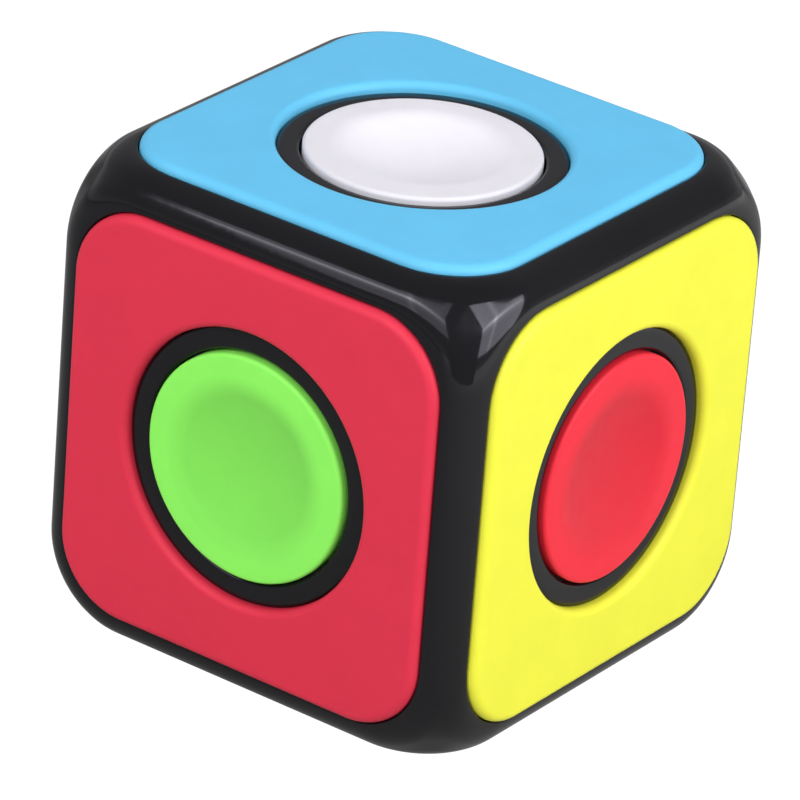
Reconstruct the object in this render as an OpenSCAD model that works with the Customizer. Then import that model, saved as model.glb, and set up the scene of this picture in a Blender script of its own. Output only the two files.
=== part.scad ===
// Spinning fidget cube. A hollow black frame carries a coloured panel on each of its six faces.
// In the middle of each panel a dished finger cap turns on a ball bearing, so the cube spins
// when it is pinched by two opposite caps. The origin is the centre of the cube, where the
// three spin axes cross. +Z is up, and the front face looks along -Y.

/* [Cube] */
// Width across two opposite panels
cube_w = 40; // [39.5:0.5:44]
// How far the frame's faces lie below the panels
frame_drop = 0.6; // [0.5:0.05:0.8]
// Radius along the frame's edges
edge_r = 3; // [2.6:0.1:3.2]
// Extra rounding of the frame's corners, seen square on a face
corner_r = 4.5; // [3.5:0.25:5]
// Thickness of the frame's walls behind the panels
wall = 1.6; // [1.5:0.1:1.8]

/* [Face panels] */
// Thickness of a panel
panel_t = 2; // [1.8:0.1:2.2]
// Radius of a panel's four corners
panel_corner_r = 6; // [5.5:0.25:7]
// Black border between a panel's edge and the side of the cube
panel_border = 3.3; // [3.1:0.1:3.6]
// Rounding along the panel's outer edge
panel_round = 0.7; // [0.4:0.1:0.8]
// Radius of the hole in a panel
panel_hole_r = 11; // [10.8:0.1:11.2]
// Rounding of the hole's edge
hole_round = 0.6; // [0.3:0.1:1]
// Gap left round a panel in its pocket
panel_gap = 0.1; // [0.05:0.05:0.15]

/* [Finger caps] */
// Radius of a cap
cap_r = 9; // [8.8:0.1:9.3]
// How far a cap's rim lies below the panel
cap_drop = 0.3; // [0.2:0.05:0.4]
// Depth of the dish for the fingertip
dish_depth = 1; // [0.6:0.1:1.1]
// Radius where the dish meets the flat rim
dish_r = 6.4; // [6:0.1:7]
// Softness of the edge of the dish
dish_edge_r = 5; // [1:0.5:5.5]
// Rounding of the cap's outer edge
cap_round = 0.3; // [0.2:0.1:0.6]

/* [Ball bearings] */
// Bore of the bearing
bearing_bore = 8; // [8:0.1:8.2]
// Outside diameter of the bearing
bearing_od = 16; // [15.8:0.1:16.2]
// Width of the bearing
bearing_w = 5; // [4.8:0.1:5]
// Diameter of a ball
ball_d = 2.3; // [2.2:0.1:2.4]
// Number of balls
ball_n = 9; // [7:1:9]

/* [Hidden] */
$fn = 96;
eps = 0.01;
over = 1;

// Levels along a face's own axis, measured out from the centre of the cube.
face_z = cube_w / 2;
frame_z = face_z - frame_drop;
pocket_z = face_z - panel_t;
cavity_z = pocket_z - wall;

// Outline of the panel and its pocket, as half widths.
panel_half = face_z - panel_border;
pocket_half = panel_half + panel_gap;
pocket_corner_r = panel_corner_r + panel_gap;

// Collar of a bearing cup, which stands in the panel's hole and surrounds the cap. Its top is
// flat inside and falls away along an arc to the panel.
collar_out_r = panel_hole_r - panel_gap;
collar_bore_r = cap_r + 0.2;
collar_top_z = face_z - 0.7;
lip_r = 0.3;
lip_x = collar_bore_r + lip_r;
lip_z = collar_top_z - lip_r;
crest_x = 10.45;
crest_w = collar_out_r - crest_x;
crest_fall = 0.1;
crest_r = (crest_w * crest_w + crest_fall * crest_fall) / (2 * crest_fall);
collar_out_z = collar_top_z - crest_fall;
collar_floor_z = face_z - 2.7;

// Hole in the frame for a cup, and the shoulder that stops the cup against the wall's inside.
cup_hole_r = collar_out_r + 0.05;
shoulder_r = cup_hole_r + 0.45;
shoulder_t = 1;

// Bearing seat. The race bears on a flange inside the cup, and a snap ring holds it.
flange_r = bearing_od / 2 - 0.8;
flange_t = 0.7;
bearing_top_z = collar_floor_z - flange_t;
bearing_mid_z = bearing_top_z - bearing_w / 2;
bearing_low_z = bearing_top_z - bearing_w;
seat_fit = 0.05;
seat_r = bearing_od / 2 + seat_fit;
boss_r = seat_r + 1.55;
boss_low_z = bearing_low_z - 1.2;

// Races and cage of the bearing.
pitch_r = (bearing_bore + bearing_od) / 4;
ball_gap = 0.1;
groove_r = ball_d / 2 + ball_gap;
race_land = 1.05;
race_chamfer = 0.3;
cage_half = 0.65;
cage_low = groove_r + 0.65;
cage_high = 0.55;

// Snap ring and its groove.
clip_t = 0.6;
clip_gap = 0.05;
clip_out_r = seat_r + 0.45;
clip_in_r = seat_r - 0.7;
clip_groove_r = clip_out_r + 0.1;
clip_opening = 36;
lug_r = 0.9;
lug_hole_r = 0.4;

// Cap, its stem and the screw that holds it.
rim_z = face_z - cap_drop;
cap_low_z = collar_floor_z + 0.3;
hub_r = bearing_bore / 2 + 0.9;
stem_r = bearing_bore / 2 - seat_fit;
stem_low_z = bearing_low_z + 0.2;
core_in_r = 5.6;
core_out_r = 8.1;
core_top_z = rim_z - dish_depth - 0.65;
pilot_r = 1.25;
pilot_top_z = rim_z - dish_depth - 1.6;
screw_flange_r = 5.2;
screw_flange_t = 0.8;
screw_low_z = bearing_low_z - screw_flange_t;
screw_shank_r = 1.2;
screw_head_r = 2.5;
screw_head_t = 1.6;
screw_tip_z = pilot_top_z - 0.6;
drive_w = 0.6;
drive_l = 2.8;
drive_depth = 0.9;

// Dish: a sphere cut from the rim plane, and the circle that rounds its edge.
dish_sphere_r = (dish_r * dish_r + dish_depth * dish_depth) / (2 * dish_depth);
dish_centre_z = rim_z - dish_depth + dish_sphere_r;
blend_reach = dish_sphere_r + dish_edge_r;
blend_z = rim_z - dish_edge_r;
blend_x = sqrt(pow(blend_reach, 2) - pow(dish_centre_z - blend_z, 2));
blend_share = dish_sphere_r / blend_reach;

// Cover of the bottom face, its opening, and the posts and screws that hold it.
cover_half = panel_half - 1.6;
cover_corner_r = panel_corner_r - 1.9;
opening_gap = 0.1;
post_at = cover_half - 2.9;
post_r = 2.5;
rib_w = 1.2;
cover_screw_r = 1.2;
cover_hole_r = 1.4;
cover_pilot_r = 1.25;
cover_pilot_l = 9;
cover_screw_l = 8;
cover_head_r = 2.2;

// Points of the frame's corner before it is rounded: three quarter circles that meet in pairs.
round_fn = 24;
round_r = edge_r / cos(180 / round_fn);
corner_steps = 5;
corner_out = frame_z - edge_r;
corner_in = corner_out - corner_r;
corner_angles = [for (i = [0 : corner_steps]) 90 * i / corner_steps];
corner_points = [
    for (t = corner_angles)
        let (u = corner_in + corner_r * cos(t))
        let (v = corner_in + corner_r * sin(t))
        each [[u, v, corner_out], [v, corner_out, u], [corner_out, u, v]]
];

black = "#1c1c20";
steel = "#b9bcc0";
brass = "#c9a45a";

// Name, rotation from the top face, panel colour and cap colour of each face.
FACES = [
    ["top", [0, 0, 0], "#64c0ea", "#ece8ee"],
    ["front", [90, 0, 0], "#da384e", "#84e45c"],
    ["right", [0, 90, 0], "#ffff50", "#f04658"],
    ["back", [-90, 0, 0], "#ff8c28", "#3c8cdc"],
    ["left", [0, -90, 0], "#f2f2f2", "#ff9632"],
    ["bottom", [180, 0, 0], "#50c85a", "#fff046"]
];
BOTTOM = 5;
SHELL_FACES = [0 : BOTTOM - 1];
ALL_FACES = [0 : BOTTOM];
PIECES = [
    "panel", "cap", "bearing_cup", "bearing_outer", "bearing_inner", "bearing_cage",
    "bearing_balls", "snap_ring", "screw"
];

// Turns the top face's shapes onto another face.
module on_face(i) {
    rotate(FACES[i][1]) children();
}

// Repeats its children at the four corners of a square.
module at_corners(d) {
    for (x = [-d, d]) for (y = [-d, d]) translate([x, y, 0]) children();
}

// Repeats its children in the middle of the four sides of a square.
module at_sides(d) {
    for (a = [0 : 90 : 270]) rotate(a) translate([d, 0, 0]) children();
}

// A square with round corners, given by its half width.
module rounded_square(half, r) {
    square([2 * half, 2 * (half - r)], center = true);
    square([2 * (half - r), 2 * half], center = true);
    at_corners(half - r) circle(r);
}

// A ring about the Z axis with a rectangular section.
module ring(out_r, in_r, low, high) {
    rotate_extrude() translate([in_r, low]) square([out_r - in_r, high - low]);
}

// A cylinder from one level to another.
module rod(r, low, high) {
    translate([0, 0, low]) cylinder(r = r, h = high - low);
}

// What is left outside a fillet in the corner of a section. sx and sy point into the corner.
module fillet_waste(x, y, r, sx, sy) {
    difference() {
        translate([min(x, x + sx * (r + eps)), min(y, y + sy * (r + eps))])
            square(r + eps);
        translate([x, y]) circle(r);
    }
}

// Cross recess of a screw head, between two levels.
module cross_recess(low, high) {
    for (a = [0, 90])
        rotate(a) translate([-drive_l / 2, -drive_w / 2, low])
            cube([drive_l, drive_w, high - low]);
}

// The frame's smooth outer skin, as a solid block.
module frame_block() {
    hull()
        for (p = corner_points)
            for (x = [-1, 1]) for (y = [-1, 1]) for (z = [-1, 1])
                translate([x * p.x, y * p.y, z * p.z]) sphere(round_r, $fn = round_fn);
}

// Pocket for a panel.
module pocket() {
    translate([0, 0, pocket_z])
        linear_extrude(panel_t + over) rounded_square(pocket_half, pocket_corner_r);
}

// Hole for a cup in the wall of one face.
module cup_hole() {
    rod(cup_hole_r, cavity_z - over, face_z);
}

// Posts in the shell's corners that the cover is screwed to, each on two ribs.
module posts() {
    length = 2 * cavity_z + eps;
    translate([0, 0, -cavity_z]) {
        at_corners(post_at) cylinder(r = post_r, h = length);
        for (a = [0 : 90 : 270]) rotate(a) {
            translate([post_at, post_at - rib_w / 2, 0])
                cube([cavity_z + eps - post_at, rib_w, length]);
            translate([post_at - rib_w / 2, post_at, 0])
                cube([rib_w, cavity_z + eps - post_at, length]);
        }
    }
}

// Black frame with five of the faces. The sixth, at the bottom, is open under its panel.
module body_shell() {
    color(black)
        difference() {
            union() {
                difference() {
                    frame_block();
                    cube(2 * cavity_z, center = true);
                    for (i = ALL_FACES) on_face(i) pocket();
                }
                posts();
            }
            for (i = SHELL_FACES) on_face(i) cup_hole();
            translate([0, 0, -face_z]) linear_extrude(face_z - cavity_z)
                rounded_square(cover_half + opening_gap, cover_corner_r + opening_gap);
            translate([0, 0, -cavity_z - over]) at_corners(post_at)
                cylinder(r = cover_pilot_r, h = cover_pilot_l + over);
        }
}

// Plate that closes the bottom of the frame, with the same hole as the other faces.
module base_cover() {
    color(black)
        on_face(BOTTOM)
            difference() {
                translate([0, 0, cavity_z]) linear_extrude(wall)
                    rounded_square(cover_half, cover_corner_r);
                cup_hole();
                at_corners(post_at) {
                    rod(cover_hole_r, cavity_z - over, face_z);
                    translate([0, 0, pocket_z - cover_head_r + cover_screw_r])
                        cylinder(r1 = cover_screw_r, r2 = cover_head_r + over,
                                 h = cover_head_r - cover_screw_r + over);
                }
            }
}

// Four countersunk screws, flush under the bottom panel.
module base_cover_screws() {
    cone_h = cover_head_r - cover_screw_r - 0.1;
    color(steel)
        on_face(BOTTOM) at_corners(post_at)
            difference() {
                union() {
                    rod(cover_screw_r, pocket_z - cover_screw_l, pocket_z - eps);
                    translate([0, 0, pocket_z - cone_h - eps])
                        cylinder(r1 = cover_screw_r, r2 = cover_screw_r + cone_h, h = cone_h);
                }
                cross_recess(pocket_z - drive_depth, pocket_z + over);
            }
}

// Section of a cup: collar with a rounded top, shoulder, flange, bearing seat and ring groove.
module cup_section() {
    groove_low_z = bearing_low_z - clip_t - 2 * clip_gap;
    translate([lip_x, lip_z]) circle(lip_r);
    intersection() {
        translate([crest_x, collar_top_z - crest_r]) circle(crest_r);
        translate([crest_x - eps, collar_out_z - eps]) square([crest_w + eps, crest_fall + 2 * eps]);
    }
    difference() {
        union() {
            polygon([
                [flange_r, cavity_z],
                [collar_out_r, cavity_z],
                [collar_out_r, collar_out_z],
                [crest_x, collar_out_z],
                [crest_x, collar_top_z],
                [lip_x, collar_top_z],
                [lip_x, lip_z],
                [collar_bore_r, lip_z],
                [collar_bore_r, collar_floor_z],
                [flange_r, collar_floor_z]
            ]);
            translate([flange_r, boss_low_z])
                square([boss_r - flange_r, cavity_z - boss_low_z + eps]);
            translate([flange_r, cavity_z - shoulder_t])
                square([shoulder_r - flange_r, shoulder_t]);
        }
        translate([flange_r - over, boss_low_z - over])
            square([seat_r - flange_r + over, bearing_top_z - boss_low_z + over]);
        translate([seat_r - over, groove_low_z])
            square([clip_groove_r - seat_r + over, bearing_low_z - groove_low_z]);
    }
}

// Black cup that holds a bearing. It is pushed outwards through the wall and glued there.
module bearing_cup(i) {
    color(black) on_face(i) rotate_extrude() cup_section();
}

// Coloured panel with rounded edges and a round hole. It is glued into its pocket.
module panel(i) {
    core_half = panel_half - panel_round;
    core_corner_r = panel_corner_r - panel_round;
    round_z = face_z - panel_round;
    straight = 2 * (panel_half - panel_corner_r);
    color(FACES[i][2])
        on_face(i)
            difference() {
                union() {
                    translate([0, 0, pocket_z]) linear_extrude(panel_t - panel_round)
                        rounded_square(panel_half, panel_corner_r);
                    translate([0, 0, pocket_z]) linear_extrude(panel_t)
                        rounded_square(core_half, core_corner_r);
                    at_sides(core_half) translate([0, 0, round_z])
                        rotate([90, 0, 0]) cylinder(r = panel_round, h = straight, center = true);
                    at_corners(panel_half - panel_corner_r) translate([0, 0, round_z])
                        rotate_extrude() translate([core_corner_r, 0]) circle(panel_round);
                }
                rod(panel_hole_r, pocket_z - over, face_z + over);
                rotate_extrude()
                    fillet_waste(panel_hole_r + hole_round, face_z - hole_round, hole_round, -1, 1);
            }
}

// Section of a cap: disc with a dished top and a rounded rim, hub and stem below it.
module cap_section() {
    difference() {
        union() {
            translate([0, cap_low_z]) square([cap_r, rim_z - cap_low_z]);
            translate([0, bearing_top_z]) square([hub_r, cap_low_z - bearing_top_z + eps]);
            translate([0, stem_low_z]) square([stem_r, bearing_top_z - stem_low_z + eps]);
        }
        fillet_waste(cap_r - cap_round, rim_z - cap_round, cap_round, 1, 1);
        translate([0, dish_centre_z]) circle(dish_sphere_r);
        difference() {
            polygon([
                [blend_x, rim_z + eps],
                [blend_x, rim_z],
                [blend_x, blend_z],
                [blend_x * blend_share, dish_centre_z - (dish_centre_z - blend_z) * blend_share],
                [blend_x * blend_share, rim_z + eps]
            ]);
            translate([blend_x, blend_z]) circle(dish_edge_r);
        }
        translate([core_in_r, cap_low_z - over])
            square([core_out_r - core_in_r, core_top_z - cap_low_z + over]);
        translate([-over, stem_low_z - over])
            square([pilot_r + over, pilot_top_z - stem_low_z + over]);
    }
}

// Finger cap with its stem. It turns with the inner race.
module cap(i) {
    color(FACES[i][3])
        on_face(i)
            rotate_extrude() intersection() {
                cap_section();
                square([cap_r, face_z]);
            }
}

// Section of a race between two radii, with chamfered corners on the side away from the balls.
module race_section(back_r, land_r) {
    side = sign(land_r - back_r);
    h = bearing_w / 2;
    difference() {
        translate([0, bearing_mid_z])
            polygon([
                [land_r, -h], [back_r + side * race_chamfer, -h], [back_r, race_chamfer - h],
                [back_r, h - race_chamfer], [back_r + side * race_chamfer, h], [land_r, h]
            ]);
        translate([pitch_r, bearing_mid_z]) circle(groove_r);
    }
}

// Outer race, fixed in the frame.
module bearing_outer(i) {
    color(steel) on_face(i) rotate_extrude() race_section(bearing_od / 2, pitch_r + race_land);
}

// Inner race, turning with the cap.
module bearing_inner(i) {
    color(steel) on_face(i) rotate_extrude() race_section(bearing_bore / 2, pitch_r - race_land);
}

// Repeats its children at each ball.
module at_balls() {
    for (k = [0 : ball_n - 1])
        rotate(360 * k / ball_n) translate([pitch_r, 0, bearing_mid_z]) children();
}

// Crown cage, a ring with a round pocket for each ball.
module bearing_cage(i) {
    color(brass)
        on_face(i)
            difference() {
                ring(pitch_r + cage_half, pitch_r - cage_half,
                     bearing_mid_z - cage_low, bearing_mid_z + cage_high);
                at_balls() sphere(groove_r);
            }
}

// Ring of balls.
module bearing_balls(i) {
    color(steel) on_face(i) at_balls() sphere(d = ball_d);
}

// Open snap ring with two lugs for the pliers.
module snap_ring(i) {
    lug_at = (clip_in_r + clip_out_r) / 2 - lug_r;
    lug_turn = clip_opening / 2 + 8;
    color(steel)
        on_face(i)
            translate([0, 0, bearing_low_z - clip_gap - clip_t]) linear_extrude(clip_t)
                difference() {
                    union() {
                        difference() {
                            circle(clip_out_r);
                            circle(clip_in_r);
                            polygon([
                                [0, 0],
                                2 * clip_out_r * [cos(clip_opening / 2), sin(clip_opening / 2)],
                                2 * clip_out_r * [cos(clip_opening / 2), -sin(clip_opening / 2)]
                            ]);
                        }
                        for (a = [-lug_turn, lug_turn]) rotate(a) translate([lug_at, 0]) circle(lug_r);
                    }
                    for (a = [-lug_turn, lug_turn])
                        rotate(a) translate([lug_at, 0]) circle(lug_hole_r);
                }
}

// Flanged screw up the middle of the stem. Its flange holds the inner race on the stem.
module screw(i) {
    head_low_z = screw_low_z - screw_head_t;
    color(steel)
        on_face(i)
            difference() {
                union() {
                    rod(screw_shank_r, bearing_low_z - eps, screw_tip_z);
                    rod(screw_flange_r, screw_low_z, bearing_low_z);
                    rod(screw_head_r, head_low_z, screw_low_z + eps);
                }
                cross_recess(head_low_z - over, head_low_z + drive_depth);
            }
}

body_shell();
base_cover();
base_cover_screws();
for (i = ALL_FACES) {
    name = FACES[i][0];
    panel(i);
    cap(i);
    bearing_cup(i);
    bearing_outer(i);
    bearing_inner(i);
    bearing_cage(i);
    bearing_balls(i);
    snap_ring(i);
    screw(i);
}
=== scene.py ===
"""Spinning fidget cube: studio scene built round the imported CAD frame. Metres, +Z up, front face along -Y."""

import math

import bpy
import bmesh
import numpy as np
from mathutils import Matrix, Quaternion, Vector


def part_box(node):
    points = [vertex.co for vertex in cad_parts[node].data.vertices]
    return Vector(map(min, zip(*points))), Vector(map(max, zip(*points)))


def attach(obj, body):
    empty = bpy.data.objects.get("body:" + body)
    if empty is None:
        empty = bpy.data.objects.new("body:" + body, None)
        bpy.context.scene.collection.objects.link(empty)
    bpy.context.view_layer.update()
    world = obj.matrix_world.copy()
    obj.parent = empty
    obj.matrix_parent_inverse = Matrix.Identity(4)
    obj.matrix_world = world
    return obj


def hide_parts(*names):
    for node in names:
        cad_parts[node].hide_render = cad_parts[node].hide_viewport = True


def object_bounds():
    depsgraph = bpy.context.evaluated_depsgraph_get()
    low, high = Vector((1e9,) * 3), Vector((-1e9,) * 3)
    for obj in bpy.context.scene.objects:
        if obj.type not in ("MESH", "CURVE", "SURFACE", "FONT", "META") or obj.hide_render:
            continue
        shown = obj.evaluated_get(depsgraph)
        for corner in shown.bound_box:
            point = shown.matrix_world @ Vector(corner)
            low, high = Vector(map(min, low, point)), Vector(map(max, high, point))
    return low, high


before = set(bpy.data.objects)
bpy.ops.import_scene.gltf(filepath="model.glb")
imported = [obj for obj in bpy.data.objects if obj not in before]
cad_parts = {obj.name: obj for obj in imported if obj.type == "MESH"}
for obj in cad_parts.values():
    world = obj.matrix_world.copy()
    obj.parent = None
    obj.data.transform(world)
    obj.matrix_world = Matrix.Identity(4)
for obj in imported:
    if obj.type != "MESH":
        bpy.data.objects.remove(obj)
cad_low, cad_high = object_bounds()
scene = bpy.context.scene

# ---------------------------------------------------------------- sizes, in millimetres

MM = 0.001


def reach(node, axis):
    """How far a CAD node goes along an axis, in millimetres."""
    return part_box(node)[1][axis] / MM


# Levels and radii below are those of the top face. Every other face repeats them.
FACE_Z = reach("top_panel", 2)
FRAME_Z = reach("body_shell", 0)

# The frame
WALL = 1.6
EDGE_R = 3.0
CORNER_R = 4.5
CORE = FRAME_Z - EDGE_R
POCKET_LIP = 0.12

# The panels
PANEL_HALF = reach("top_panel", 0)
PANEL_T = 2.0
PANEL_R = 6.0
PANEL_ROUND = 0.7
PANEL_GAP = 0.1
LOW_BEVEL = 0.15
HOLE_R = 11.0
HOLE_ROUND = 0.6
POCKET_Z = FACE_Z - PANEL_T
CAVITY_Z = POCKET_Z - WALL

# The finger caps, with the recess that they turn in
CAP_R = reach("top_cap", 0)
CAP_ROUND = 0.3
RIM_Z = reach("top_cap", 2)
RECESS_Z = FACE_Z - 2.7
CAP_LOW_Z = RECESS_Z + 0.3
HOLLOW_OUT_R = 8.1
HOLLOW_IN_R = 5.6
HUB_R = 4.9
STEM_R = 3.95
STEM_LOW_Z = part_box("top_cap")[0][2] / MM
STEM_BEVEL = 0.2
DISH_DEPTH = 1.0
DISH_R = 6.4
DISH_EDGE_R = 5.0
DISH_SPHERE = (DISH_R ** 2 + DISH_DEPTH ** 2) / (2 * DISH_DEPTH)

# The bearing cups
SEAT_R = reach("top_bearing_outer", 0) + 0.05
SEAT_TOP_Z = reach("top_bearing_outer", 2)
SEAT_LOW_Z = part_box("top_bearing_outer")[0][2] / MM
COLLAR_R = HOLE_R - PANEL_GAP
COLLAR_TOP_Z = FACE_Z - 0.7
CREST_X = 10.45
CREST_FALL = 0.1
BORE_R = CAP_R + 0.2
LIP_R = 0.3
WALL_HOLE_R = COLLAR_R + 0.05
SHOULDER_R = WALL_HOLE_R + 0.45
SHOULDER_T = 1.0
FLANGE_R = 7.2
BOSS_R = 9.6
BOSS_LOW_Z = 10.4
GROOVE_DEEP = 0.55
GROOVE_T = 0.7

# The bottom cover's opening, and the posts that it is screwed to
OPENING_HALF = PANEL_HALF - 1.5
OPENING_R = PANEL_R - 1.8
POST_AT = OPENING_HALF - 3.0
POST_R = 2.5
RIB_HALF = 0.6
PILOT_R = 1.25
PILOT_DEEP = 9.0

# Mesh steps along a straight side, round a corner, along a small rounding and round a turned piece
N_SIDE = 24
N_ARC = 24
N_ROUND = 8
N_LATHE = 160

# Rotation of each face from the top face, as axis and degrees.
FACES = {
    "top": ("X", 0),
    "front": ("X", 90),
    "right": ("Y", 90),
    "back": ("X", -90),
    "left": ("Y", -90),
    "bottom": ("X", 180),
}


def turn_of(face):
    """Rotation that carries the top face's shapes onto another face."""
    axis, degrees = FACES[face]
    return np.array(Matrix.Rotation(math.radians(degrees), 3, axis))


# ---------------------------------------------------------------- mesh building


class Skin:
    """Collects loops and strips of points, in millimetres, and welds them into one mesh."""

    def __init__(self):
        self.points = []
        self.faces = []

    def add(self, points, faces, turn=None):
        points = np.asarray(points, float)
        if turn is not None:
            points = points @ turn.T
        start = len(self.points)
        self.points.extend(points.tolist())
        self.faces.extend([tuple(start + i for i in f) for f in faces])

    def sweep(self, loops, turn=None, closed=True):
        """Quads between each loop and the next. Every loop has the same number of points."""
        n = len(loops[0])
        points = np.concatenate(loops)
        faces = []
        for k in range(len(loops) - 1):
            for i in range(n if closed else n - 1):
                j = (i + 1) % n
                faces.append((k * n + i, k * n + j, (k + 1) * n + j, (k + 1) * n + i))
        self.add(points, faces, turn)

    def lathe(self, profile, turn=None, steps=N_LATHE, centre=(0.0, 0.0)):
        """Turns a profile of (radius, level) about the Z axis through the centre."""
        angles = np.arange(steps) * 2 * math.pi / steps
        loops = [disc(angles, r, z, centre) for r, z in profile]
        self.sweep(loops, turn)

    def block(self, low, high, turn=None):
        (a, b, c), (d, e, f) = low, high
        points = [(x, y, z) for x in (a, d) for y in (b, e) for z in (c, f)]
        faces = [(0, 1, 3, 2), (4, 6, 7, 5), (0, 4, 5, 1), (2, 3, 7, 6), (0, 2, 6, 4), (1, 5, 7, 3)]
        self.add(points, faces, turn)

    def build(self, name, sharp=32):
        """The welded mesh object, with flat faces kept flat by weighted normals."""
        bm = bmesh.new()
        verts = [bm.verts.new(Vector(p) * MM) for p in self.points]
        for f in self.faces:
            corners = []
            for i in f:
                if verts[i] not in corners:
                    corners.append(verts[i])
            if len(corners) > 2:
                bm.faces.new(corners)
        bmesh.ops.remove_doubles(bm, verts=bm.verts, dist=2e-7)
        bmesh.ops.dissolve_degenerate(bm, edges=bm.edges, dist=1e-7)
        bmesh.ops.recalc_face_normals(bm, faces=bm.faces)
        mesh = bpy.data.meshes.new(name)
        bm.to_mesh(mesh)
        bm.free()
        mesh.shade_smooth()
        mesh.set_sharp_from_angle(angle=math.radians(sharp))
        obj = bpy.data.objects.new(name, mesh)
        scene.collection.objects.link(obj)
        weighted = obj.modifiers.new("flat_faces", "WEIGHTED_NORMAL")
        weighted.keep_sharp = True
        weighted.weight = 80
        return obj


def disc(angles, r, z, centre=(0.0, 0.0)):
    """A loop of points at a radius, or at one radius for each angle, and at a level."""
    r = np.broadcast_to(r, angles.shape)
    x = centre[0] + r * np.cos(angles)
    y = centre[1] + r * np.sin(angles)
    return np.stack([x, y, np.broadcast_to(z, angles.shape)], 1)


def outline(half, radius):
    """Points, outward normals and turning angles round a square with round corners."""
    c = half - radius
    spread = math.atan2(c, half)
    points = []
    normals = []
    turned = []
    for k in range(4):
        ca, sa = math.cos(k * math.pi / 2), math.sin(k * math.pi / 2)
        spin = np.array([[ca, -sa], [sa, ca]])
        for i in range(N_SIDE):
            y = half * math.tan(-spread + 2 * spread * i / N_SIDE)
            points.append(spin @ (half, y))
            normals.append(spin @ (1.0, 0.0))
            turned.append(0.0)
        for i in range(N_ARC):
            t = math.pi / 2 * i / N_ARC
            e = np.array([math.cos(t), math.sin(t)])
            points.append(spin @ (c + radius * e))
            normals.append(spin @ e)
            turned.append(t)
    return np.array(points), np.array(normals), np.array(turned)


def radial(angles, half, radius):
    """Distance from the middle to a square with round corners, at each angle."""
    c = half - radius
    a, b = np.abs(np.cos(angles)), np.abs(np.sin(angles))
    a, b = np.maximum(a, b), np.minimum(a, b)
    m = c * (a + b)
    on_corner = m + np.sqrt(np.maximum(m * m - 2 * c * c + radius * radius, 0.0))
    return np.where(half * b / a <= c, half / a, on_corner)


def offset_to(points, normals, half, radius):
    """Distance along each normal from a point to a square with round corners."""
    low = np.full(len(points), -2.0)
    high = np.full(len(points), 2.0)
    for _ in range(40):
        mid = (low + high) / 2
        q = points + normals * mid[:, None]
        angles = np.arctan2(q[:, 1], q[:, 0])
        inside = np.hypot(q[:, 0], q[:, 1]) < radial(angles, half, radius)
        low = np.where(inside, mid, low)
        high = np.where(inside, high, mid)
    return (low + high) / 2


def arc(start, end, steps=N_ROUND):
    """Angles from start to end in degrees, both ends included, as radians."""
    return [math.radians(start + (end - start) * i / steps) for i in range(steps + 1)]


# ---------------------------------------------------------------- the black frame


def lowest_angle(turned):
    """Angle, up from the side, where a face's share of the frame's edge rounding begins."""
    return np.arctan(np.maximum(np.cos(turned), np.sin(turned)))


def face_of_frame(skin, face):
    """One side of the frame: half of each edge rounding, the panel's pocket, and the hole in its floor."""
    points, normals, turned = outline(CORE, CORNER_R)
    wall = offset_to(points, normals, PANEL_HALF + PANEL_GAP, PANEL_R + PANEL_GAP)
    edge = wall + POCKET_LIP
    first = lowest_angle(turned)
    last = np.arccos(np.clip(edge / EDGE_R, 0.0, 1.0))

    def loop(out, z):
        flat = points + normals * np.broadcast_to(out, len(points))[:, None]
        return np.column_stack([flat, np.broadcast_to(z, len(points))])

    loops = []
    steps = N_ROUND + 4
    for i in range(steps + 1):
        a = first + (last - first) * i / steps
        loops.append(loop(EDGE_R * np.cos(a), CORE + EDGE_R * np.sin(a)))
    level = CORE + np.sqrt(EDGE_R ** 2 - np.maximum(edge, 0.0) ** 2)
    for a in arc(0, 90, 3):
        loops.append(loop(wall + POCKET_LIP * (1 - math.sin(a)), level - POCKET_LIP * (1 - math.cos(a))))
    loops.append(loop(wall, POCKET_Z))
    side = loops[-1]
    angles = np.arctan2(side[:, 1], side[:, 0])
    if face == "bottom":
        opening = radial(angles, OPENING_HALF, OPENING_R)
        loops.append(disc(angles, opening, POCKET_Z))
        loops.append(disc(angles, opening, CAVITY_Z))
    else:
        loops.append(disc(angles, WALL_HOLE_R, POCKET_Z))
        loops.append(disc(angles, WALL_HOLE_R, CAVITY_Z))
    square = CAVITY_Z / np.maximum(np.abs(np.cos(angles)), np.abs(np.sin(angles)))
    loops.append(disc(angles, square, CAVITY_Z))
    skin.sweep(loops, turn_of(face))


def corners_of_frame(skin):
    """The eight corners, each of three bent strips between the roundings and a small flat between them."""
    half = N_ARC // 2
    near = []
    for i in range(half + 1):
        t = math.pi / 2 * i / N_ARC
        a = float(lowest_angle(t))
        out = CORE - CORNER_R + (CORNER_R + EDGE_R * math.cos(a)) * np.array([math.cos(t), math.sin(t)])
        near.append((out[0], out[1], CORE + EDGE_R * math.sin(a)))
    near = np.array(near)
    far = near[:, [2, 1, 0]]
    middle = np.array([near[half], near[half][[1, 2, 0]], near[half][[2, 0, 1]]])
    for sx in (-1, 1):
        for sy in (-1, 1):
            for sz in (-1, 1):
                mirror = np.diag([sx, sy, sz])
                for order in ([0, 1, 2], [1, 2, 0], [2, 0, 1]):
                    skin.sweep([near[:, order], far[:, order]], mirror, closed=False)
                skin.add(middle, [(0, 1, 2)], mirror)


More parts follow.
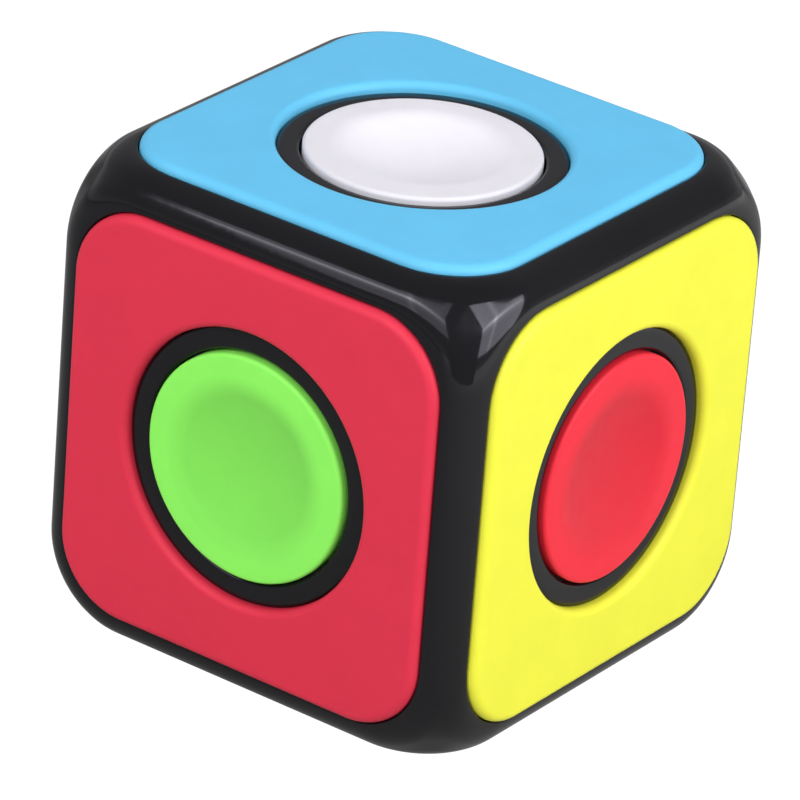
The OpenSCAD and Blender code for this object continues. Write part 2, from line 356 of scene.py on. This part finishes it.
def make_frame():
    """The black frame with its four screw posts, each on two ribs."""
    skin = Skin()
    for face in FACES:
        face_of_frame(skin, face)
    corners_of_frame(skin)
    for x in (-POST_AT, POST_AT):
        for y in (-POST_AT, POST_AT):
            post = [(0, CAVITY_Z), (POST_R, CAVITY_Z), (POST_R, -CAVITY_Z)]
            post += [(PILOT_R, -CAVITY_Z), (PILOT_R, PILOT_DEEP - CAVITY_Z), (0, PILOT_DEEP - CAVITY_Z)]
            skin.lathe(post, steps=48, centre=(x, y))
            sx, sy = math.copysign(1, x), math.copysign(1, y)
            ribs = (
                ((x, y - RIB_HALF), (sx * CAVITY_Z, y + RIB_HALF)),
                ((x - RIB_HALF, y), (x + RIB_HALF, sy * CAVITY_Z)),
            )
            for start, end in ribs:
                low = (min(start[0], end[0]), min(start[1], end[1]), -CAVITY_Z)
                high = (max(start[0], end[0]), max(start[1], end[1]), CAVITY_Z)
                skin.block(low, high)
    return skin.build("frame_shell")


def make_cup(face):
    """The black cup of a bearing: collar with a rounded top, shoulder, seat and ring groove."""
    crest_w = COLLAR_R - CREST_X
    crest_r = (crest_w ** 2 + CREST_FALL ** 2) / (2 * CREST_FALL)
    crest_z = COLLAR_TOP_Z - crest_r
    start = math.degrees(math.acos(crest_w / crest_r))
    lip_x, lip_z = BORE_R + LIP_R, COLLAR_TOP_Z - LIP_R
    profile = [(COLLAR_R, CAVITY_Z)]
    for a in arc(start, 90, 10):
        profile.append((CREST_X + crest_r * math.cos(a), crest_z + crest_r * math.sin(a)))
    for a in arc(90, 180, 8):
        profile.append((lip_x + LIP_R * math.cos(a), lip_z + LIP_R * math.sin(a)))
    profile += [(BORE_R, RECESS_Z), (FLANGE_R, RECESS_Z), (FLANGE_R, SEAT_TOP_Z)]
    profile += [(SEAT_R, SEAT_TOP_Z), (SEAT_R, SEAT_LOW_Z)]
    profile += [(SEAT_R + GROOVE_DEEP, SEAT_LOW_Z), (SEAT_R + GROOVE_DEEP, SEAT_LOW_Z - GROOVE_T)]
    profile += [(SEAT_R, SEAT_LOW_Z - GROOVE_T), (SEAT_R, BOSS_LOW_Z), (BOSS_R, BOSS_LOW_Z)]
    profile += [(BOSS_R, CAVITY_Z - SHOULDER_T), (SHOULDER_R, CAVITY_Z - SHOULDER_T)]
    profile += [(SHOULDER_R, CAVITY_Z), (COLLAR_R, CAVITY_Z)]
    skin = Skin()
    skin.lathe(profile, turn_of(face))
    return skin.build(face + "_collar_cup")


# ---------------------------------------------------------------- panels and caps


def make_panel(face):
    """A coloured panel with rounded edges and a round hole with a soft edge."""
    points, normals, _ = outline(PANEL_HALF, PANEL_R)
    angles = np.arctan2(points[:, 1], points[:, 0])

    def loop(inwards, z):
        flat = points - normals * inwards
        return np.column_stack([flat, np.full(len(points), z)])

    round_z = FACE_Z - PANEL_ROUND
    loops = [loop(LOW_BEVEL, POCKET_Z), loop(0, POCKET_Z + LOW_BEVEL)]
    for a in arc(0, 90, 10):
        loops.append(loop(PANEL_ROUND * (1 - math.cos(a)), round_z + PANEL_ROUND * math.sin(a)))
    loops.append(loop(PANEL_ROUND + 0.5, FACE_Z))
    loops.append(disc(angles, HOLE_R + HOLE_ROUND + 0.3, FACE_Z))
    hole_z = FACE_Z - HOLE_ROUND
    for a in arc(0, 90, 12):
        loops.append(disc(angles, HOLE_R + HOLE_ROUND * (1 - math.sin(a)), hole_z + HOLE_ROUND * math.cos(a)))
    loops.append(disc(angles, HOLE_R, POCKET_Z + LOW_BEVEL))
    loops.append(disc(angles, HOLE_R + LOW_BEVEL, POCKET_Z))
    loops.append(loops[0])
    skin = Skin()
    skin.sweep(loops, turn_of(face))
    return skin.build(face + "_face_plate")


def dish_profile():
    """Section of the dished top: a sphere, then a soft convex edge that runs into the flat rim."""
    centre_z = RIM_Z - DISH_DEPTH + DISH_SPHERE
    edge_z = RIM_Z - DISH_EDGE_R
    edge_x = math.sqrt((DISH_SPHERE + DISH_EDGE_R) ** 2 - (centre_z - edge_z) ** 2)
    tilt = math.atan2(edge_x, centre_z - edge_z)
    profile = []
    for i in range(21):
        a = tilt * i / 20
        profile.append((DISH_SPHERE * math.sin(a), centre_z - DISH_SPHERE * math.cos(a)))
    for i in range(1, 11):
        a = tilt * (1 - i / 10)
        profile.append((edge_x - DISH_EDGE_R * math.sin(a), edge_z + DISH_EDGE_R * math.cos(a)))
    return profile


def make_cap(face):
    """A finger cap with its dish, a hollow behind the rim, a hub and a stem with a pilot hole."""
    hollow_z = RIM_Z - DISH_DEPTH - 0.65
    pilot_z = RIM_Z - DISH_DEPTH - 1.6
    x, z = CAP_R - CAP_ROUND, RIM_Z - CAP_ROUND
    profile = dish_profile()
    profile.append((x - 0.3, RIM_Z))
    profile += [(x + CAP_ROUND * math.sin(a), z + CAP_ROUND * math.cos(a)) for a in arc(0, 90)]
    profile += [(CAP_R, CAP_LOW_Z + LOW_BEVEL), (CAP_R - LOW_BEVEL, CAP_LOW_Z)]
    profile += [(HOLLOW_OUT_R, CAP_LOW_Z), (HOLLOW_OUT_R, hollow_z), (HOLLOW_IN_R, hollow_z)]
    profile += [(HOLLOW_IN_R, CAP_LOW_Z), (HUB_R, CAP_LOW_Z), (HUB_R, SEAT_TOP_Z)]
    profile += [(STEM_R, SEAT_TOP_Z), (STEM_R, STEM_LOW_Z + STEM_BEVEL), (STEM_R - STEM_BEVEL, STEM_LOW_Z)]
    profile += [(PILOT_R, STEM_LOW_Z), (PILOT_R, pilot_z), (0, pilot_z)]
    skin = Skin()
    skin.lathe(profile, turn_of(face))
    return skin.build(face + "_finger_cap")


# ---------------------------------------------------------------- materials


class Shader:
    """A material's nodes, with short calls for the ones that come up often."""

    def __init__(self, name):
        self.material = bpy.data.materials.new(name)
        self.material.use_nodes = True
        self.tree = self.material.node_tree
        self.bsdf = self.tree.nodes["Principled BSDF"]
        coordinates = self.tree.nodes.new("ShaderNodeTexCoord")
        self.place = coordinates.outputs["Object"]

    def set(self, **values):
        for name, value in values.items():
            self.bsdf.inputs[name.replace("_", " ")].default_value = value

    def link(self, source, target):
        self.tree.links.new(source, target)

    def noise(self, scale, detail=2.0, roughness=0.5, source=None):
        node = self.tree.nodes.new("ShaderNodeTexNoise")
        node.inputs["Scale"].default_value = scale
        node.inputs["Detail"].default_value = detail
        node.inputs["Roughness"].default_value = roughness
        self.link(source or self.place, node.inputs["Vector"])
        return node.outputs["Fac"]

    def stretched(self, scale):
        node = self.tree.nodes.new("ShaderNodeMapping")
        node.inputs["Scale"].default_value = scale
        self.link(self.place, node.inputs["Vector"])
        return node.outputs["Vector"]

    def span(self, source, low, high, start=0.3, end=0.7):
        node = self.tree.nodes.new("ShaderNodeMapRange")
        node.inputs["From Min"].default_value = start
        node.inputs["From Max"].default_value = end
        node.inputs["To Min"].default_value = low
        node.inputs["To Max"].default_value = high
        self.link(source, node.inputs["Value"])
        return node.outputs["Result"]

    def ramp(self, source, stops):
        node = self.tree.nodes.new("ShaderNodeValToRGB")
        elements = node.color_ramp.elements
        while len(elements) < len(stops):
            elements.new(0.5)
        for element, (position, colour) in zip(elements, stops):
            element.position = position
            element.color = (*colour, 1.0)
        self.link(source, node.inputs["Fac"])
        return node.outputs["Color"]

    def bump(self, height, distance, strength=1.0, under=None):
        node = self.tree.nodes.new("ShaderNodeBump")
        node.inputs["Distance"].default_value = distance
        node.inputs["Strength"].default_value = strength
        self.link(height, node.inputs["Height"])
        if under is not None:
            self.link(under, node.inputs["Normal"])
        return node.outputs["Normal"]

    def axis_distance(self, face):
        """Distance from a face's spin axis, in metres."""
        node = self.tree.nodes.new("ShaderNodeVectorMath")
        node.operation = "MULTIPLY"
        along = np.abs(turn_of(face)[:, 2])
        node.inputs[1].default_value = tuple(1.0 - along)
        self.link(self.place, node.inputs[0])
        length = self.tree.nodes.new("ShaderNodeVectorMath")
        length.operation = "LENGTH"
        self.link(node.outputs["Vector"], length.inputs[0])
        return length.outputs["Value"]


def srgb(r, g, b):
    """Linear colour of 8-bit screen values."""
    return tuple(v / 255 / 12.92 if v < 11 else ((v / 255 + 0.055) / 1.055) ** 2.4 for v in (r, g, b))


def shades(colour, low, high):
    """Two stops of one colour, a little darker and a little lighter."""
    dark = tuple(c * low for c in colour)
    light = tuple(min(c * high, 1.0) for c in colour)
    return [(0.3, dark), (0.7, light)]


def gloss_black(name):
    """High-gloss black moulded plastic: faint flow marks, fine handling haze and a hint of orange peel."""
    s = Shader(name)
    s.set(Specular_IOR_Level=0.28)
    s.link(s.ramp(s.noise(90, 3), shades(srgb(18, 18, 21), 0.9, 1.1)), s.bsdf.inputs["Base Color"])
    haze = s.noise(260, 4, 0.6)
    s.link(s.span(haze, 0.06, 0.12), s.bsdf.inputs["Roughness"])
    peel = s.bump(s.noise(900, 1), 0.000004)
    s.link(peel, s.bsdf.inputs["Normal"])
    return s.material


def satin_plastic(name, colour, roughness, specular=0.2, grain=0.000006):
    """Spark-eroded satin plastic: slight mottling of the colour, uneven sheen and a fine grain."""
    s = Shader(name)
    s.set(Specular_IOR_Level=specular)
    s.link(s.ramp(s.noise(220, 4, 0.6), shades(colour, 0.975, 1.02)), s.bsdf.inputs["Base Color"])
    s.link(s.span(s.noise(700, 3), roughness - 0.05, roughness + 0.05), s.bsdf.inputs["Roughness"])
    s.link(s.bump(s.noise(5200, 2, 0.6), grain), s.bsdf.inputs["Normal"])
    return s.material


def cap_plastic(name, face, colour, dish_painted_light, roughness=0.42):
    """Satin plastic whose finger dish is coloured a little darker or lighter than the rim: painted shade or
    painted light in the dish.
    """
    s = Shader(name)
    s.set(Specular_IOR_Level=0.2)
    # The dish's colour is the rim's colour times the dish tone: painted shade where the tone is below one,
    # painted light where it is above one.
    dish = tuple(min(c * dish_painted_light, 1.0) for c in colour)
    far = s.span(s.axis_distance(face), 0.0, 1.0, 5.6 * MM, 7.4 * MM)
    tone = s.ramp(far, [(0.0, dish), (1.0, colour)])
    mottle = s.ramp(s.noise(240, 4, 0.6), [(0.3, (0.975,) * 3), (0.7, (1.02,) * 3)])
    mix = s.tree.nodes.new("ShaderNodeMix")
    mix.data_type = "RGBA"
    mix.blend_type = "MULTIPLY"
    mix.inputs["Factor"].default_value = 1.0
    s.link(tone, mix.inputs["A"])
    s.link(mottle, mix.inputs["B"])
    s.link(mix.outputs["Result"], s.bsdf.inputs["Base Color"])
    s.link(s.span(s.noise(700, 3), roughness - 0.05, roughness + 0.05), s.bsdf.inputs["Roughness"])
    s.link(s.bump(s.noise(5200, 2, 0.6), 0.000005), s.bsdf.inputs["Normal"])
    return s.material


def metal(name, colour, roughness, grain=2600, smear=(1.0, 1.0, 1.0)):
    """Turned or drawn metal: uneven polish, fine tool marks and a little staining."""
    s = Shader(name)
    s.set(Metallic=1.0)
    s.link(s.ramp(s.noise(600, 4, 0.6), shades(colour, 0.85, 1.06)), s.bsdf.inputs["Base Color"])
    marks = s.noise(grain, 3, 0.6, s.stretched(smear))
    s.link(s.span(marks, roughness * 0.7, roughness * 1.4), s.bsdf.inputs["Roughness"])
    s.link(s.bump(marks, 0.000003), s.bsdf.inputs["Normal"])
    return s.material


def finish_with(obj, material):
    """Gives every polygon of an object one material."""
    obj.data.materials.clear()
    obj.data.materials.append(material)


# ---------------------------------------------------------------- the object

black = gloss_black("gloss_black_frame")
shell = make_frame()
finish_with(shell, black)
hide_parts("body_shell")
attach(shell, "cube")
finish_with(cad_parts["base_cover"], black)

PANELS = {
    "top": ("panel_blue", srgb(100, 192, 233)),
    "front": ("panel_red", srgb(222, 50, 74)),
    "right": ("panel_yellow", srgb(238, 238, 66)),
    "back": ("panel_orange", srgb(255, 138, 36)),
    "left": ("panel_white", srgb(240, 240, 242)),
    "bottom": ("panel_green", srgb(76, 196, 88)),
}
# Each cap: material slot, colour, and a tone for its dish, which is painted shade below one and painted light
# above one.
CAPS = {
    "top": ("cap_white", srgb(226, 223, 229), 1.1),
    "front": ("cap_green", srgb(144, 248, 98), 0.82),
    "right": ("cap_red", srgb(238, 43, 62), 0.82),
    "back": ("cap_blue", srgb(58, 138, 218), 0.9),
    "left": ("cap_orange", srgb(255, 148, 46), 0.9),
    "bottom": ("cap_yellow", srgb(255, 240, 66), 0.9),
}
for face, (slot, colour) in PANELS.items():
    plate = make_panel(face)
    finish_with(plate, satin_plastic(slot, colour, 0.46))
    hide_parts(face + "_panel")
    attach(plate, "cube")
    cup = make_cup(face)
    finish_with(cup, black)
    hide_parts(face + "_bearing_cup")
    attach(cup, "cube")
for face, (slot, colour, tone) in CAPS.items():
    cap = make_cap(face)
    finish_with(cap, cap_plastic(slot, face, colour, tone))
    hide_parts(face + "_cap")
    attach(cap, face + "_spinner")

race = metal("bearing_race_steel", (0.60, 0.61, 0.63), 0.16)
ball = metal("bearing_ball_steel", (0.72, 0.73, 0.75), 0.06, grain=900)
brass = metal("cage_brass", (0.72, 0.47, 0.16), 0.28)
spring = metal("spring_steel", (0.16, 0.16, 0.17), 0.38)
screw = metal("screw_steel", (0.50, 0.50, 0.52), 0.24, smear=(1.0, 1.0, 6.0))
finish_with(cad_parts["base_cover_screws"], screw)
for face in FACES:
    for piece, material in (
        ("bearing_outer", race),
        ("bearing_inner", race),
        ("bearing_balls", ball),
        ("bearing_cage", brass),
        ("snap_ring", spring),
        ("screw", screw),
    ):
        finish_with(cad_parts[face + "_" + piece], material)

# ---------------------------------------------------------------- studio


def direction(azimuth, elevation):
    """Unit vector. Azimuth is from -Y towards +X and elevation above the floor, in degrees."""
    a, e = math.radians(azimuth), math.radians(elevation)
    return Vector((math.sin(a) * math.cos(e), -math.cos(a) * math.cos(e), math.sin(e)))


def aim(obj, azimuth, elevation, away, roll=0):
    """Puts an object at a distance from the cube's middle, facing it. Roll lifts its right-hand side."""
    back = direction(azimuth, elevation)
    obj.location = back * away
    turn = (-back).to_track_quat("-Z", "Y") @ Quaternion((0.0, 0.0, 1.0), math.radians(roll))
    obj.rotation_euler = turn.to_euler()
    scene.collection.objects.link(obj)


def soft_light(name, azimuth, elevation, wide, high, roll, radiance, away=0.6):
    """A light that fills wide by high degrees as the cube sees it. The gloss does not show it."""
    data = bpy.data.lights.new(name, "AREA")
    data.shape = "RECTANGLE"
    data.size = 2 * away * math.tan(math.radians(wide / 2))
    data.size_y = 2 * away * math.tan(math.radians(high / 2))
    data.energy = radiance * math.pi * data.size * data.size_y
    lamp = bpy.data.objects.new(name, data)
    lamp.visible_glossy = False
    aim(lamp, azimuth, elevation, away, roll)


def flat_mesh(name, half_wide, half_high, steps=1):
    """A flat sheet in its own XY plane."""
    mesh = bpy.data.meshes.new(name)
    sheet = bmesh.new()
    bmesh.ops.create_grid(sheet, x_segments=steps, y_segments=steps, size=1.0)
    bmesh.ops.scale(sheet, vec=(half_wide, half_high, 1.0), verts=sheet.verts)
    sheet.to_mesh(mesh)
    sheet.free()
    return mesh


def only_in_gloss(obj):
    """Leaves a sheet to be seen in reflections and by nothing else."""
    obj.visible_camera = False
    obj.visible_diffuse = False
    obj.visible_transmission = False
    obj.visible_shadow = False


# A tube's reach on its cloth along and across, as parts of the cloth's width. Then the seams of the
# cloth: how much brighter they are, and half their width for each metre that the cloth is away.
TUBE_LONG = 4.0
TUBE_HIGH = 0.35
SEAM_BRIGHT = 1.6
SEAM_HALF = 0.02


def softbox_cloth(name, azimuth, elevation, wide, high, roll, glow, core, away=0.3):
    """The cloth of a softbox as the gloss shows it, bright along its tube and at two crossed seams.

    The glow is its radiance at the cloth's edge, between, near the tube and on it. The core is the
    tube's middle, as parts of half the cloth's width and height.
    """
    half_wide = away * math.tan(math.radians(wide / 2))
    half_high = away * math.tan(math.radians(high / 2))
    sheet = bpy.data.objects.new(name, flat_mesh(name, half_wide, half_high))
    aim(sheet, azimuth, elevation, away, roll)
    s = Shader(name)
    s.set(Base_Color=(0.0, 0.0, 0.0, 1.0), Specular_IOR_Level=0.0)
    shift = s.tree.nodes.new("ShaderNodeMapping")
    shift.vector_type = "TEXTURE"
    shift.inputs["Location"].default_value = (core[0] * half_wide, core[1] * half_high, 0.0)
    shift.inputs["Scale"].default_value = (TUBE_LONG, TUBE_HIGH, 1.0)
    s.link(s.place, shift.inputs["Vector"])
    far = s.tree.nodes.new("ShaderNodeVectorMath")
    far.operation = "LENGTH"
    s.link(shift.outputs["Vector"], far.inputs[0])
    brightest = glow[-1]
    stops = [(place, (value / brightest,) * 3) for place, value in zip((1.0, 0.4, 0.12, 0.0), glow)]
    spread = s.ramp(s.span(far.outputs["Value"], 0.0, 1.0, 0.0, half_wide), stops[::-1])
    split = s.tree.nodes.new("ShaderNodeSeparateXYZ")
    s.link(shift.outputs["Vector"], split.inputs["Vector"])
    seams = []
    for axis in ("X", "Y"):
        size = s.tree.nodes.new("ShaderNodeMath")
        size.operation = "ABSOLUTE"
        s.link(split.outputs[axis], size.inputs[0])
        seams.append(s.span(size.outputs["Value"], SEAM_BRIGHT, 1.0, 0.0, SEAM_HALF * away))
    both = s.tree.nodes.new("ShaderNodeMath")
    both.operation = "MAXIMUM"
    s.link(seams[0], both.inputs[0])
    s.link(seams[1], both.inputs[1])
    power = s.tree.nodes.new("ShaderNodeMath")
    power.operation = "MULTIPLY"
    s.link(spread, power.inputs[0])
    s.link(both.outputs["Value"], power.inputs[1])
    strength = s.span(power.outputs["Value"], 0.0, brightest * 2, 0.0, 2.0)
    s.link(strength, s.bsdf.inputs["Emission Strength"])
    s.bsdf.inputs["Emission Color"].default_value = (0.9, 0.87, 1.0, 1.0)
    finish_with(sheet, s.material)
    only_in_gloss(sheet)


FLOOR_HALF = 3.0
GLOW_REACH = 0.2


def ground(name, albedo, glow_near, glow_right):
    """A wide paper floor. Its glow stands for lamps farther off, and grows towards the right."""
    sheet = bpy.data.objects.new(name, flat_mesh(name, FLOOR_HALF, FLOOR_HALF, 8))
    sheet.location.z = cad_low.z - 0.04 * MM
    scene.collection.objects.link(sheet)
    s = Shader(name)
    s.set(Roughness=0.9, Specular_IOR_Level=0.0)
    s.link(s.ramp(s.noise(3, 2), shades((albedo,) * 3, 0.97, 1.03)), s.bsdf.inputs["Base Color"])
    split = s.tree.nodes.new("ShaderNodeSeparateXYZ")
    s.link(s.place, split.inputs["Vector"])
    glow = s.span(split.outputs["X"], glow_near, glow_right, 0.0, GLOW_REACH)
    s.link(glow, s.bsdf.inputs["Emission Strength"])
    s.bsdf.inputs["Emission Color"].default_value = (1.0, 1.0, 1.0, 1.0)
    finish_with(sheet, s.material)
    return sheet


def dark_card(name, azimuth, away, half_wide, half_high, glow):
    """The dark side of the room, behind the camera, as the gloss shows it. The card stands on the floor."""
    card = bpy.data.objects.new(name, flat_mesh(name, half_wide, half_high))
    aim(card, azimuth, 0, away)
    card.location.z = cad_low.z + half_high
    s = Shader(name)
    s.set(Specular_IOR_Level=0.0, Emission_Strength=glow)
    s.bsdf.inputs["Emission Color"].default_value = (1.0, 1.0, 1.0, 1.0)
    s.link(s.ramp(s.noise(5, 2), shades((0.02,) * 3, 0.8, 1.2)), s.bsdf.inputs["Base Color"])
    finish_with(card, s.material)
    only_in_gloss(card)


def room(horizon, above):
    """The rest of the room: one tone up to just over the horizon, and another above it."""
    world = bpy.data.worlds.new("studio")
    scene.world = world
    world.use_nodes = True
    nodes = world.node_tree.nodes
    place = nodes.new("ShaderNodeTexCoord")
    split = nodes.new("ShaderNodeSeparateXYZ")
    bands = nodes.new("ShaderNodeValToRGB")
    low, high = bands.color_ramp.elements
    low.position = 0.06
    low.color = (*horizon, 1.0)
    high.position = 0.18
    high.color = (*above, 1.0)
    world.node_tree.links.new(place.outputs["Generated"], split.inputs["Vector"])
    world.node_tree.links.new(split.outputs["Z"], bands.inputs["Fac"])
    world.node_tree.links.new(bands.outputs["Color"], nodes["Background"].inputs["Color"])


soft_light("front_softbox", -4.5, 36.5, 56, 42, 9, 2.75)
soft_light("right_softbox", 94, 28.5, 58, 40, -12, 3.3)
soft_light("top_fill", 225, 75, 50, 50, 0, 0.45)
softbox_cloth("front_softbox_cloth", -4.5, 40, 56, 32, 9, (2.1, 3.4, 8.0, 15.0), (-0.35, 0.35))
softbox_cloth("right_softbox_cloth", 94, 28.5, 58, 40, -12, (4.8, 6.4, 11.7, 18.0), (-0.3, 0.55))

# The floor as the camera sees it: even and white.
backdrop = ground("studio_floor", 0.04, 1.05, 1.05)
backdrop.visible_diffuse = False
backdrop.visible_glossy = False
backdrop.visible_transmission = False
backdrop.visible_shadow = False

# The floor as it lights the cube.
bounce = ground("studio_floor_bounce", 0.35, 0.1, 0.35)
bounce.visible_camera = False
bounce.visible_glossy = False

# The floor as the gloss shows it: dark round the cube and lit farther off on the right.
mirrored = ground("studio_floor_mirrored", 0.28, 0.1, 1.2)
mirrored.location.z += 0.01 * MM
only_in_gloss(mirrored)

dark_card("dark_flag", 40, 0.17, 0.068, 0.034, 0.3)
room((0.5, 0.5, 0.52), (0.34, 0.34, 0.36))
scene.view_settings.view_transform = "Standard"

# The camera's axes, and its place as parts of half the cube's width along them.
SIGHT = Vector((0.51463, -0.73223, 0.44610))
RIGHT = Vector((0.79575, 0.60162, 0.06950))
UP = Vector((-0.31927, 0.31922, 0.89228))
HALF = FACE_Z * MM
camera_data = bpy.data.cameras.new("camera")
camera_data.lens = 309.1
camera_data.sensor_width = 36.0
camera_data.clip_start = 0.01
camera_data.clip_end = 20.0
camera = bpy.data.objects.new("camera", camera_data)
stand = (SIGHT * 25.905 - RIGHT * 0.0185 - UP * 0.0582) * HALF
axes = Matrix((RIGHT, UP, SIGHT)).transposed().to_4x4()
camera.matrix_world = Matrix.Translation(stand) @ axes
scene.collection.objects.link(camera)
scene.camera = camera
